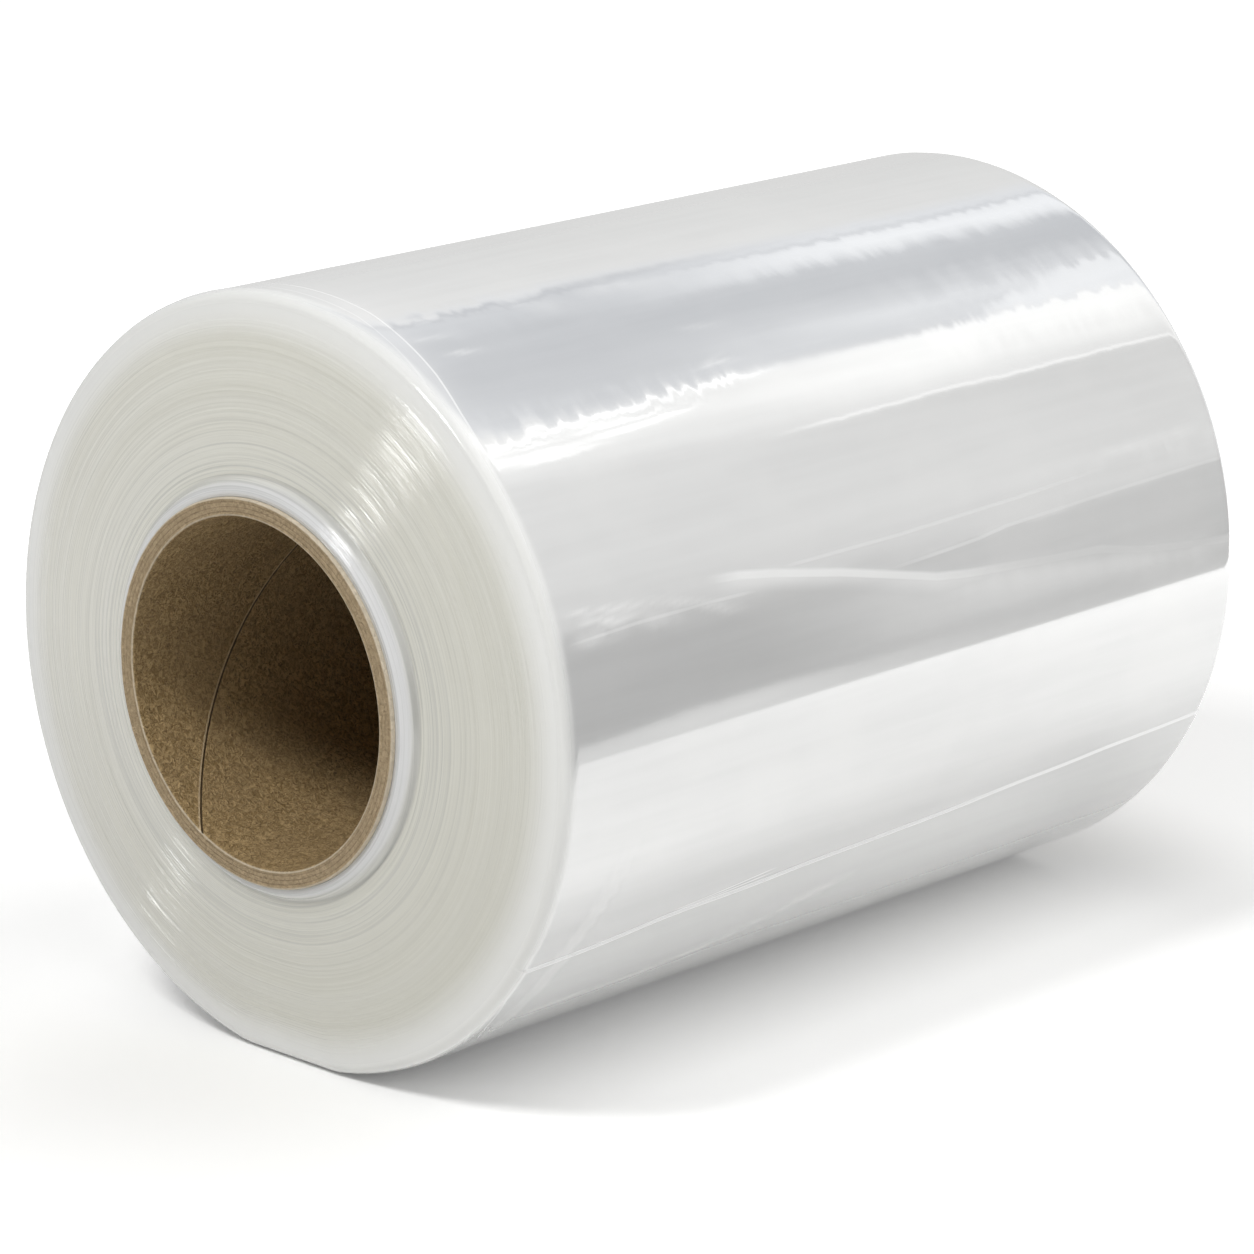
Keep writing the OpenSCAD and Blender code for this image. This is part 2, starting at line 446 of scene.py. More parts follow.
def film_object():
    """The whole winding: its turns' edges on both ends, and its side with the loose last turn."""
    rows = film_rows()
    delta = film_columns()
    r0, at, kind = columns_of(rows)
    ends = kind != "side"
    far = kind == "far"
    u = np.clip((r0 - FIRST_TURN_R)/(LAST_BAND_R - FIRST_TURN_R), 0, 1)
    x0 = np.where(ends, FIRST_TURN_NEAR + set_back(u) + far*FILM_W, at)
    angle = tail_angle(x0) - delta

    x = x0 + np.where(ends, turn_edges(r0, angle, u), 0)
    r = r0 + np.where(ends, 0, side_lift(r0, x0, angle, delta)) - pressed(r0, angle)
    floor_r = np.where(np.cos(angle) > 0.5, AXIS_H/np.maximum(np.cos(angle), 0.5), ROLL_R - 0.02)
    r = np.minimum(r, floor_r)

    attributes = film_attributes(r0, x0, angle, delta, ends)
    # Rows of faces on the side, with those that join it to the ends
    second = ~ends.ravel()
    second |= np.roll(second, -1)
    return grid_object("film_winding", around(r, angle, x), attributes, second)


# Core

SEAM_PITCH = 175.0
SEAM_ANGLE = math.radians(26.0)
SEAM_W = 0.7
SEAM_DEPTH = 0.35
# Half of the gap at the seam, in degrees round the bore
SEAM_HALF = SEAM_W/2/SEAM_PITCH*360
PLIES = 4
BEVEL = 0.3


def core_rows(length):
    """Nominal radius, place and kind of each row of the mesh, once round the wall."""
    near_r = np.linspace(BORE_R + BEVEL, CORE_R - BEVEL, 34)
    mouth = np.linspace(BEVEL, 8, 12)
    middle = np.linspace(10, length - 10, 90)
    bore_x = np.concatenate([mouth, middle, np.linspace(length - 8, length - BEVEL, 8)])
    rows = [(BORE_R, x, "bore") for x in bore_x[::-1]]
    rows += [(r, 0.0, "near") for r in near_r]
    rows += [(CORE_R, x, "out") for x in np.linspace(BEVEL, length - BEVEL, 18)]
    rows += [(r, length, "far") for r in near_r[::-1]]
    return rows


def core_columns():
    """Angles from the seam round the core, closest together beside the seam."""
    beside = np.array([0, 0.3, 0.55, 0.8, 1.0, 1.4, 2.0])*SEAM_HALF
    apart = np.linspace(beside[-1] + 1, 359 - beside[-1], 226)
    return np.radians(np.concatenate([beside, apart, 360 - beside[:0:-1]]))[None, :]


# Depths in millimetres on the core's ends: the even cut, its fuzz, a ply line and a worn edge,
# and how far the lips by both edges stand out
CUT_DEPTH, CUT_FUZZ, PLY_DEPTH, WORN_DEPTH = 0.14, 0.03, 0.14, 0.25
LIP_HEIGHT = 0.1


def cut_end(share, r0, angle):
    """How far a core end's fuzzy cut lies inwards, with its ply lines and its worn edges."""
    cut = swell(SEED + 21, (11, 90), (3, 9), 80, 0.3)(angle, r0)*CUT_FUZZ
    sway = [i/PLIES + 0.012*np.cos(angle*3 + i) for i in range(1, PLIES)]
    ply = sum(PLY_DEPTH*np.exp(-((share - at)/0.02)**2) for at in sway)
    lip = np.exp(-((share - 0.1)/0.05)**2) + np.exp(-((share - 0.92)/0.05)**2)
    worn = np.clip(1 - share/0.12, 0, 1)**2 + np.clip((share - 0.88)/0.12, 0, 1)**2
    return np.maximum(CUT_DEPTH + cut + ply - LIP_HEIGHT*lip + WORN_DEPTH*worn, 0.01)


def core_object():
    """The paperboard tube, with its seam in the bore."""
    length = CORE_FAR - CORE_NEAR
    r0, x0, kind = columns_of(core_rows(length))
    delta = core_columns()

    # Columns follow the seam inside, and come back by the shortest way outside
    whole = 2*np.pi*length/SEAM_PITCH
    short = whole - 2*np.pi*round(whole/(2*np.pi))
    twist = np.where(kind == "out", short*x0/length, 2*np.pi*x0/SEAM_PITCH)
    angle = SEAM_ANGLE + twist + delta

    # The seam's gap in the bore
    off = np.degrees((delta + np.pi) % (2*np.pi) - np.pi)/SEAM_HALF
    gap = SEAM_DEPTH*np.clip(1 - np.abs(off), 0, 1)
    bore = kind == "bore"
    r = r0 + np.where(bore, gap, 0)

    share = (r0 - BORE_R)/(CORE_R - BORE_R)
    end = (kind == "near") | (kind == "far")
    inward = np.where(end, cut_end(share, r0, angle), 0)
    x = CORE_NEAR + x0 + inward*np.where(kind == "near", 1, -1)
    attributes = {
        "wall": np.clip(share, 0, 1),
        "end": np.where(bore, 0.0, 1.0),
        "seam": off,
    }
    return grid_object("core_tube", around(r, angle, x), attributes)


# Materials

class Nodes:
    """Short calls to make and join the nodes of one material."""

    def __init__(self, tree):
        self.tree = tree

    def add(self, kind, inputs=None, **settings):
        node = self.tree.nodes.new(kind)
        for key, value in settings.items():
            setattr(node, key, value)
        for key, value in (inputs or {}).items():
            self.put(node, key, value)
        return node

    def put(self, node, key, value):
        socket = node.inputs[key]
        if isinstance(value, bpy.types.NodeSocket):
            self.tree.links.new(value, socket)
        else:
            socket.default_value = value

    def math(self, operation, a, b=0.0, c=0.0):
        node = self.add("ShaderNodeMath", {0: a, 1: b, 2: c}, operation=operation)
        return node.outputs[0]

    def times(self, first, *others):
        for other in others:
            first = self.math("MULTIPLY", first, other)
        return first

    def plus(self, first, *others):
        for other in others:
            first = self.math("ADD", first, other)
        return first

    def most(self, first, *others):
        for other in others:
            first = self.math("MAXIMUM", first, other)
        return first

    def rest(self, value):
        return self.math("SUBTRACT", 1.0, value)

    def away(self, value, place):
        return self.math("ABSOLUTE", self.math("SUBTRACT", value, place))

    def attribute(self, name):
        return self.add("ShaderNodeAttribute", attribute_name=name).outputs["Fac"]

    def place(self):
        return self.add("ShaderNodeTexCoord").outputs["Object"]

    def parts(self, vector):
        return self.add("ShaderNodeSeparateXYZ", {0: vector}).outputs

    def vector(self, x, y, z):
        return self.add("ShaderNodeCombineXYZ", {0: x, 1: y, 2: z}).outputs[0]

    def noise(self, vector, scale, detail=2.0, roughness=0.5, distortion=0.0):
        inputs = {"Vector": vector, "Scale": scale, "Detail": detail, "Roughness": roughness,
                  "Distortion": distortion}
        return self.add("ShaderNodeTexNoise", inputs).outputs["Fac"]

    def band(self, value, lo, hi, to_lo=0.0, to_hi=1.0):
        inputs = {"Value": value, "From Min": lo, "From Max": hi, "To Min": to_lo, "To Max": to_hi}
        return self.add("ShaderNodeMapRange", inputs, interpolation_type="SMOOTHSTEP").outputs[0]

    def mix(self, factor, a, b):
        node = self.add("ShaderNodeMix", {0: factor, 6: a, 7: b}, data_type="RGBA")
        return node.outputs[2]

    def bump(self, height, distance=1.0, strength=1.0, normal=None):
        inputs = {"Height": height, "Distance": distance, "Strength": strength}
        node = self.add("ShaderNodeBump", inputs)
        if normal is not None:
            self.put(node, "Normal", normal)
        return node.outputs[0]


def material(name):
    """A new material, its nodes and its shader."""
    mat = bpy.data.materials.new(name)
    mat.use_nodes = True
    nodes = Nodes(mat.node_tree)
    shader = mat.node_tree.nodes["Principled BSDF"]
    return mat, nodes, shader


# Film by the rim, and the white of the painted highlights on creases and edges and of the paler
# layers by the rim
RIM_CREAM = (0.82, 0.822, 0.797, 1)
HIGHLIGHT_WHITE = (0.95, 0.952, 0.945, 1)
# Ends of the turns: two tones of fine lines, the wide lines, the painted shade on one side, the
# tight first turns, the two tones of the collar, and the painted shade in the groove round it
STACK_TONES = ((0.635, 0.625, 0.548, 1), (0.715, 0.705, 0.63, 1))
WIDE_TONE = (0.70, 0.695, 0.64, 1)
FACE_SHADE_TONE = (0.50, 0.495, 0.42, 1)
TIGHT_TONE = (0.44, 0.44, 0.415, 1)
COLLAR_TONES = ((0.54, 0.545, 0.545, 1), (0.70, 0.704, 0.715, 1))
GROOVE_SHADE = (0.36, 0.36, 0.35, 1)
# Side: two tones of streaks, its clouds, and the painted shade low on the roll
STREAK_TONES = ((0.82, 0.822, 0.82, 1), (0.855, 0.857, 0.855, 1))
CLOUD_TONE = (0.88, 0.88, 0.875, 1)
PAINTED_LOW_SHADE_TONE = (0.45, 0.453, 0.445, 1)
# Once round the roll, in millimetres
WHOLE_TURN = 2*math.pi*ROLL_R
# Lines on the ends: their size across and along the rings, in millimetres, and how deep the
# ones are that glint, in metres
FINE_LINES = (0.6, 120.0)
WIDE_LINES = (6.0, 160.0)
GLINT_LINES = (0.55, 80.0)
GLINT_DEPTH = 0.0006
# Streaks, clouds and ruffles of the side: their size along the roll and round it, in millimetres
STREAK_SIZE = (70.0, 4.0)
CLOUD_SIZE = (26.0, 22.0)
RUFFLE_SIZE = (4.2, 14.0)


def film_end_material():
    """Edges of clear film in a thick stack: milky and finely lined."""
    mat, n, shader = material("film_edges")
    turn = n.attribute("turn_r")
    past = n.attribute("past_collar")
    spot = n.parts(n.place())

    def rings(across, length, detail, roughness=0.5):
        """Noise in rings: a size in millimetres across them, and one along them."""
        wide_y = n.times(spot["Y"], 1/MM/length)
        wide_z = n.times(spot["Z"], 1/MM/length)
        where = n.vector(n.math("DIVIDE", turn, across), wide_y, wide_z)
        return n.noise(where, 1.0, detail, roughness)

    fine = rings(*FINE_LINES, 3.0, 0.6)
    wide = rings(*WIDE_LINES, 1.0)
    dash = rings(*GLINT_LINES, 2.0)
    cream = n.mix(n.band(fine, 0.3, 0.7), *STACK_TONES)
    cream = n.mix(n.band(wide, 0.35, 0.7, 0.0, 0.3), cream, WIDE_TONE)
    # Painted shade: the ends are darker on one side
    cream = n.mix(n.attribute("dense"), cream, FACE_SHADE_TONE)
    # Greyer lines where the first turns are wound tight
    tight = n.times(n.band(turn, 47.0, 66.0, 0.5, 0.0), n.band(fine, 0.38, 0.5, 1.0, 0.0))
    cream = n.mix(tight, cream, TIGHT_TONE)
    # The collar of first turns, and the painted shade in the groove round it
    tone = n.mix(n.band(fine, 0.35, 0.6), *COLLAR_TONES)
    cream = n.mix(n.band(past, -1.6, 1.2, 0.85, 0.0), cream, tone)
    cream = n.mix(n.band(n.away(past, 0.6), 0.1, 0.7, 0.3, 0.0), cream, GROOVE_SHADE)
    cream = n.mix(n.band(turn, ROLL_R - 12, ROLL_R - 3), cream, RIM_CREAM)
    n.put(shader, "Base Color", cream)
    shader.inputs["Roughness"].default_value = 0.42
    shader.inputs["IOR"].default_value = 1.5
    shader.inputs["Coat Weight"].default_value = 1.0
    shader.inputs["Coat Roughness"].default_value = 0.07
    shader.inputs["Coat IOR"].default_value = 1.7
    soft_edge = n.band(turn, LAST_BAND_R - 6, LAST_BAND_R, 1.0, 0.0)
    n.put(shader, "Coat Normal", n.bump(n.times(dash, soft_edge, GLINT_DEPTH)))
    return mat


def tail_highlights(n, arc, along):
    """Painted highlights: bright lines along the free edge of the last turn and beside it."""
    off = n.math("MINIMUM", arc, n.math("SUBTRACT", WHOLE_TURN, arc))
    edge = n.times(n.band(off, 0.15, 0.6, 1.0, 0.0), n.band(along, 20.0, 45.0, 1.0, 0.12))
    spread = n.band(along, -64.0, -30.0, 0.25, 1.0)
    shown = n.band(n.away(along, -47.0), 10.0, 17.0, 0.9, 0.0)
    for step in (1.3, 2.5):
        line = n.band(n.away(arc, n.times(spread, step)), 0.08, 0.4, 1.0, 0.0)
        edge = n.most(edge, n.times(line, shown))
    return edge


def crease_highlights(n):
    """Painted highlights of the crisp creases: a line each, and a painted glow below the long one.
    """
    long_gap = n.attribute("long_crease")
    line = n.band(n.math("ABSOLUTE", long_gap), 0.5, 1.5, 1.0, 0.0)
    glow = n.times(n.band(long_gap, -0.4, 0.3), n.band(long_gap, 0.5, 4.5, 0.6, 0.0))
    drawn = n.times(n.most(line, glow), n.attribute("long_on"))
    for name in ("branch", "fine"):
        gap = n.math("ABSOLUTE", n.attribute(name + "_crease"))
        drawn = n.most(drawn, n.times(n.band(gap, 0.12, 0.6, 1.0, 0.0), n.attribute(name + "_on")))
    return drawn


def rim_highlights(n):
    """Painted highlights: bright lines where the outermost layers end beside the rim."""
    gap = n.attribute("rim_gap")
    outer = n.band(n.math("ABSOLUTE", gap), 0.1, 0.5, 1.0, 0.0)
    inner = n.band(n.away(gap, -3.8), 0.1, 0.45, 0.7, 0.0)
    middle = n.band(n.away(gap, -1.9), 0.1, 0.4, 0.45, 0.0)
    return n.times(n.most(outer, inner, middle), n.attribute("rim_on"))


def ruffled_normal(n, noise):
    """The side's own normal, tilted round the roll by blocky ruffles."""
    normal = n.add("ShaderNodeNewGeometry").outputs["Normal"]
    part = n.parts(normal)
    down = n.vector(0.0, n.math("MULTIPLY", part["Z"], -1.0), part["Y"])
    ruffle = n.math("SUBTRACT", n.band(noise, 0.36, 0.64), 0.5)
    lean = n.times(ruffle, n.attribute("loose"))
    tilt = n.add("ShaderNodeVectorMath", {0: down, "Scale": lean}, operation="SCALE")
    leaned = n.add("ShaderNodeVectorMath", {0: normal, 1: tilt.outputs[0]}, operation="ADD")
    return n.add("ShaderNodeVectorMath", {0: leaned.outputs[0]}, operation="NORMALIZE").outputs[0]


def film_side_material():
    """Clear film in a thick stack, seen through its glossy last turn, which mirrors its room."""
    mat, n, shader = material("film_side")
    side = n.attribute("side")
    along = n.attribute("along")
    about = n.attribute("round")
    arc = n.attribute("arc")

    def grain(along_size, about_size, shift, detail, roughness=0.55):
        """Noise with a size in millimetres along the roll, and one round it."""
        where = n.vector(n.math("DIVIDE", along, along_size), n.math("DIVIDE", about, about_size),
                         shift)
        return n.noise(where, 1.0, detail, roughness)

    streak = grain(*STREAK_SIZE, 0.0, 3.0)
    cloud = grain(*CLOUD_SIZE, 3.0, 2.0)
    shade = n.mix(n.band(streak, 0.3, 0.7), *STREAK_TONES)
    shade = n.mix(n.band(cloud, 0.4, 0.7, 0.0, 0.5), shade, CLOUD_TONE)
    # Painted shade low on the side
    shade = n.mix(n.attribute("dull"), shade, PAINTED_LOW_SHADE_TONE)
    # Painted highlights: folds, creases, layer edges and the free edge painted whiter, with less
    # sheen there
    white = n.most(n.attribute("white"), crease_highlights(n), rim_highlights(n), tail_highlights(n, arc, along))
    shade = n.mix(white, shade, HIGHLIGHT_WHITE)
    n.put(shader, "Base Color", n.mix(side, RIM_CREAM, shade))
    n.put(shader, "Metallic", n.times(side, n.rest(white), 0.36))
    n.put(shader, "Roughness", n.band(side, 0.0, 1.0, 0.42, 0.06))
    shader.inputs["IOR"].default_value = 1.5
    shader.inputs["Coat Weight"].default_value = 0.8
    shader.inputs["Coat Roughness"].default_value = 0.08
    shader.inputs["Coat IOR"].default_value = 1.5
    normal = ruffled_normal(n, grain(*RUFFLE_SIZE, 11.0, 2.0))
    n.put(shader, "Normal", normal)
    n.put(shader, "Coat Normal", normal)
    return mat


# Liner in the bore: two tones of fibres, its flecks and blots, the painted highlight on the seam's
# lip, and its gap
PAPER_TONES = ((0.26, 0.175, 0.075, 1), (0.56, 0.40, 0.205, 1))
FLECK_TONE = (0.11, 0.07, 0.032, 1)
BLOT_TONE = (0.34, 0.24, 0.13, 1)
SEAM_LIP_HIGHLIGHT = (0.72, 0.58, 0.38, 1)
SEAM_GAP = (0.05, 0.033, 0.018, 1)
# Cut ends: two tones of fibres, the lines between the plies, and the painted highlights on the
# lips at both edges
CUT_TONES = ((0.36, 0.27, 0.16, 1), (0.53, 0.405, 0.255, 1))
PLY_LINE = (0.13, 0.09, 0.05, 1)
LIP_HIGHLIGHT = (0.80, 0.71, 0.56, 1)


def kraft_material():
    """Matt kraft paperboard with its fibres, plies and seam."""
    mat, n, shader = material("kraft_paperboard")
    end = n.attribute("end")
    wall = n.attribute("wall")
    seam = n.attribute("seam")
    place = n.place()
    inside = n.rest(end)
    fibres = n.noise(place, 820.0, 4.0, 0.68, 1.4)
    flecks = n.noise(place, 1500.0, 1.0, 0.6, 1.2)
    blot = n.noise(place, 60.0, 3.0, 0.5)

    # Bore: mottled liner, and the seam with a painted highlight on one lip
    paper = n.mix(n.band(fibres, 0.36, 0.64), *PAPER_TONES)
    paper = n.mix(n.band(flecks, 0.56, 0.72, 0.0, 0.7), paper, FLECK_TONE)
    paper = n.mix(n.band(blot, 0.35, 0.7, 0.0, 0.3), paper, BLOT_TONE)
    paper = n.mix(n.band(n.away(seam, 1.9), 0.3, 1.0, 0.7, 0.0), paper, SEAM_LIP_HIGHLIGHT)
    paper = n.mix(n.band(n.math("ABSOLUTE", seam), 0.5, 1.1, 0.9, 0.0), paper, SEAM_GAP)

    # Ends: plies with a dark line between two of them, and a painted highlight on the lip at both
    # edges
    cut = n.mix(n.band(fibres, 0.3, 0.7), *CUT_TONES)
    sway = n.times(n.math("SUBTRACT", n.noise(place, 130.0, 2.0), 0.5), 0.06)
    ply = n.math("PINGPONG", n.times(n.plus(wall, sway), PLIES), 0.5)
    inner = n.times(n.band(wall, 0.1, 0.16), n.band(wall, 0.84, 0.9, 1.0, 0.0))
    cut = n.mix(n.times(n.band(ply, 0.0, 0.12, 0.4, 0.0), inner), cut, PLY_LINE)
    lip_highlights = n.most(n.band(wall, 0.04, 0.15, 0.85, 0.0), n.band(wall, 0.88, 0.96, 0.0, 0.8))
    cut = n.mix(lip_highlights, cut, LIP_HIGHLIGHT)
    n.put(shader, "Base Color", n.mix(inside, cut, paper))
    shader.inputs["Roughness"].default_value = 0.85
    shader.inputs["IOR"].default_value = 1.4
    n.put(shader, "Normal", n.bump(fibres, 0.0009, 0.9))
    return mat


# Studio

def plain_material(name):
    """An empty material, for cloth and lights."""
    mat = bpy.data.materials.new(name)
    mat.use_nodes = True
    nodes = Nodes(mat.node_tree)
    mat.node_tree.nodes.clear()
    out = nodes.add("ShaderNodeOutputMaterial")
    return mat, nodes, out


def seen_directly(n):
    """1 for rays from the camera, mirrors and glass, and 0 for the rest."""
    path = n.add("ShaderNodeLightPath").outputs
    return n.most(path["Is Camera Ray"], path["Is Glossy Ray"], path["Is Transmission Ray"])


FLOOR_EDGE = -0.272
FLOOR_REACH = 3.0
# How white the glow makes the table to the eye: beside the roll, near it and far from it;
# the lower glow beside the roll paints shadow there
GLOW_BESIDE, GLOW_NEAR, GLOW_FAR = 0.16, 0.48, 0.9
# Share of it left on the table before the near end, where it paints a shadow
GLOW_BEFORE_END = 0.5
# How much faster the painted shadow runs out at the ends and behind the roll than before it
GLOW_RUN = 2.0
# Distances in metres from beside the roll to near it, and from near to far
REACH_NEAR, REACH_FAR = (0.03, 0.16), (0.3, 0.9)
# Place along the roll's axis of the painted shadow before the near end, and its half width
# where it is full and where it ends
BEFORE_END, BEFORE_END_W = -0.17, (0.02, 0.14)
# Share of that glow which the film's side mirrors, before the near and the far end
MIRRORED_NEAR, MIRRORED_FAR = 0.64, 1.55
CLOTH = (0.92, 0.918, 0.908, 1)


def white_table():
    """White cloth, white to the eye and in mirrors but for the roll's shadow, cast and partly
    painted.
    """
    mat, n, out = plain_material("white_table")
    place = n.parts(n.place())
    past_end = n.math("SUBTRACT", n.math("ABSOLUTE", place["X"]), CORE_FAR*MM - 0.008)
    past_end = n.times(n.most(past_end, 0.0), n.band(place["X"], -0.1, 0.1, 1.0, GLOW_RUN))
    beside = n.most(n.times(place["Y"], -1.0), n.times(place["Y"], GLOW_RUN))
    reach = n.math("SQRT", n.plus(n.times(past_end, past_end), n.times(beside, beside)))
    # Painted shadow: the glow is lower beside the roll
    glow = n.band(reach, *REACH_NEAR, GLOW_BESIDE, GLOW_NEAR)
    glow = n.plus(glow, n.band(reach, *REACH_FAR, 0.0, GLOW_FAR - GLOW_NEAR))
    # Painted shadow before the near end
    before_end = n.band(n.away(place["X"], BEFORE_END), *BEFORE_END_W, GLOW_BEFORE_END, 1.0)
    glow = n.times(glow, before_end)
    glossy = n.add("ShaderNodeLightPath").outputs["Is Glossy Ray"]
    share = n.band(place["X"], 0.05, 0.28, MIRRORED_NEAR, MIRRORED_FAR)
    share = n.plus(n.times(glossy, share), n.rest(glossy))
    strength = n.times(glow, share, seen_directly(n))
    diffuse = n.add("ShaderNodeBsdfDiffuse", {"Color": CLOTH}).outputs[0]
    white = n.add("ShaderNodeEmission", {"Color": (1, 1, 1, 1), "Strength": strength}).outputs[0]
    n.put(out, "Surface", n.add("ShaderNodeAddShader", {0: diffuse, 1: white}).outputs[0])
    mat.cycles.emission_sampling = "NONE"
    return mat


def table_object(name, y_from, y_to, mat):
    mesh = bpy.data.meshes.new(name)
    corners = [(-FLOOR_REACH, y_from, 0), (FLOOR_REACH, y_from, 0),
               (FLOOR_REACH, y_to, 0), (-FLOOR_REACH, y_to, 0)]
    mesh.from_pydata(corners, [], [(0, 1, 2, 3)])
    mesh.materials.append(mat)
    return linked(name, mesh)


TENT_R = 1.1
TENT_X = (-2.4, 3.0)
TENT_ARC = (-34.0, 214.0)
TENT_STEPS = 64
# Where the tent changes over from what the near end mirrors to what the far end does
TENT_OVER = (0.96, 1.18)
PLAIN = (1.0, 1.0, 0.99, 1)
# Bluish haze that the tent adds higher up, and the angles between which it does
HAZE = (0.01, 0.04, 0.10, 1)
HAZE_FROM_TO = (72.0, 122.0)
# Brightness of the tent at angles round the roll's axis, from straight ahead over the top
TENT_NEAR = [(-34, 0.75), (-19, 0.75), (-17.5, 0.6), (-16.2, 0.2), (-8, 0.15), (6, 0.16),
             (10, 0.24), (13, 0.5), (18, 0.6), (28, 0.69), (38, 0.66), (52, 0.66), (58, 0.74),
             (61, 0.9), (66, 1.05), (73, 0.95), (77, 0.48), (82, 0.3), (98, 0.21), (110, 0.25),
             (118, 0.4), (121.5, 0.42), (122.5, 0.16), (123.8, 0.4), (125.5, 0.71), (150, 0.69),
             (214, 0.7)]
TENT_FAR = [(-34, 0.72), (-15, 0.44), (-11, 0.64), (-5, 0.68), (0, 0.72), (13, 0.72), (18, 0.72),
            (23, 0.8), (28, 0.74), (38, 0.7), (53, 0.58), (55, 0.88), (60, 1.15), (68, 1.42),
            (75, 1.42), (76.5, 0.6), (81, 0.68), (85, 0.78), (90, 0.52), (98, 0.29), (106, 0.35),
            (110, 0.9), (113, 1.05), (118, 1.0), (119.6, 0.5), (121.5, 0.76), (150, 0.72),
            (214, 0.7)]
# Soft box above: its lower and its upper edge in degrees, each at two places along the tent
KEY_LOW = ((0.905, 62.6), (1.085, 74.6))
KEY_HIGH = ((0.83, 69.5), (0.9, 74.8))
KEY_GLOW = 2.3
# Duller strip that runs through it, likewise, and the share of its light left there
GAP_LOW = ((0.93, 67.3), (1.06, 72.0))
GAP_HIGH = ((0.93, 67.9), (1.06, 74.6))
GAP_LEAVES = 0.4
# Dark card ahead: its lower and its upper edge likewise, and the share of light left there
CARD_LOW = ((1.03, 7.0), (1.312, -13.0))
CARD_HIGH = ((1.03, 6.4), (1.312, 12.4))
CARD_LEAVES = 0.66
# Second light at the far end, with its brightness
END_LOW = ((1.18, 74.0), (1.312, 74.0))
END_HIGH = ((1.2, 76.0), (1.312, 88.0))
END_GLOW = 1.05
# Thin slit of light at the far end: its angle, and its brightness
SLIT_AT, SLIT_GLOW = 54.6, 1.35
# Places along the tent between which the soft box fades out, and the slit fades in
KEY_OUT, SLIT_IN = (1.05, 1.09), (1.0, 1.08)
# How far the bands of the tent sway, in degrees
TENT_SWAY = 5.0


def tent_ramp(n, turn, bands):
    """Brightness at an angle round the tent, from a list of angles and values."""
    lo, hi = bands[0][0], bands[-1][0]
    peak = max(value for _, value in bands)
    share = n.math("DIVIDE", n.math("SUBTRACT", turn, lo), hi - lo)
    ramp = n.add("ShaderNodeValToRGB", {0: share})
    stops = ramp.color_ramp.elements
    while len(stops) < len(bands):
        stops.new(0.5)
    for stop, (angle, value) in zip(stops, bands):
        stop.position = (angle - lo)/(hi - lo)
        stop.color = (value/peak, value/peak, value/peak, 1)
    bright = n.add("ShaderNodeRGBToBW", {0: ramp.outputs[0]}).outputs[0]
    return n.times(bright, peak)


def tent_strip(n, turn, along, low, high, soft):
    """1 between two slanting edges on the tent."""
    edges = []
    for (x0, angle0), (x1, angle1) in (low, high):
        ramp = {"Value": along, "From Min": x0, "From Max": x1, "To Min": angle0, "To Max": angle1}
        edges.append(n.add("ShaderNodeMapRange", ramp).outputs[0])
    above = n.band(n.math("SUBTRACT", turn, edges[0]), -soft, soft)
    below = n.band(n.math("SUBTRACT", turn, edges[1]), -soft, soft, 1.0, 0.0)
    return n.times(above, below)


def tent_material():
    """Two graded cloths, one for each end of the film, with the lights and the card on them."""
    mat, n, out = plain_material("tent_cloth")
    place = n.parts(n.place())
    along = place["X"]
    up = n.math("SUBTRACT", place["Z"], AXIS_H*MM)
    front = n.times(place["Y"], -1.0)
    turn = n.math("DEGREES", n.math("ARCTAN2", up, front))
    turn = n.math("WRAP", turn, 270.0, -90.0)
    sway = n.noise(n.vector(n.times(along, 5.0), n.times(turn, 0.03), 0.0), 1.0, 2.0)
    wavy = n.plus(turn, n.times(n.math("SUBTRACT", sway, 0.5), TENT_SWAY))
    far = n.band(along, *TENT_OVER)
    glow = n.plus(n.times(far, tent_ramp(n, wavy, TENT_FAR)),
                  n.times(n.rest(far), tent_ramp(n, wavy, TENT_NEAR)))
    card = tent_strip(n, turn, along, CARD_LOW, CARD_HIGH, 0.6)
    glow = n.times(glow, n.rest(n.times(card, 1.0 - CARD_LEAVES)))
    lumps = n.noise(n.vector(n.times(along, 30.0), n.times(turn, 0.45), 4.0), 1.0, 2.0)
    key = n.times(tent_strip(n, turn, along, KEY_LOW, KEY_HIGH, 0.8),
                  n.band(along, *KEY_OUT, 1.0, 0.0), n.band(lumps, 0.42, 0.6, 0.35, 1.0))
    gap = tent_strip(n, turn, along, GAP_LOW, GAP_HIGH, 0.5)
    key = n.times(key, n.rest(n.times(gap, 1.0 - GAP_LEAVES)))
    slit = n.times(n.band(n.away(turn, SLIT_AT), 0.3, 0.9, 1.0, 0.0), n.band(along, *SLIT_IN))
    end = tent_strip(n, wavy, along, END_LOW, END_HIGH, 2.0)
    glow = n.most(glow, n.times(key, KEY_GLOW), n.times(slit, SLIT_GLOW), n.times(end, END_GLOW))
    high = n.times(n.band(turn, HAZE_FROM_TO[0], HAZE_FROM_TO[0] + 6),
                   n.band(turn, HAZE_FROM_TO[1], HAZE_FROM_TO[1] + 8, 1.0, 0.0))
    haze = n.mix(high, (0, 0, 0, 1), HAZE)
    lit = n.add("ShaderNodeVectorMath", {0: PLAIN[:3], "Scale": glow}, operation="SCALE")
    tint = n.add("ShaderNodeVectorMath", {0: lit.outputs[0], 1: haze}, operation="ADD")
    cloth = n.add("ShaderNodeEmission", {"Color": tint.outputs[0], "Strength": 1.0})
    n.put(out, "Surface", cloth.outputs[0])
    mat.cycles.emission_sampling = "NONE"
    return mat


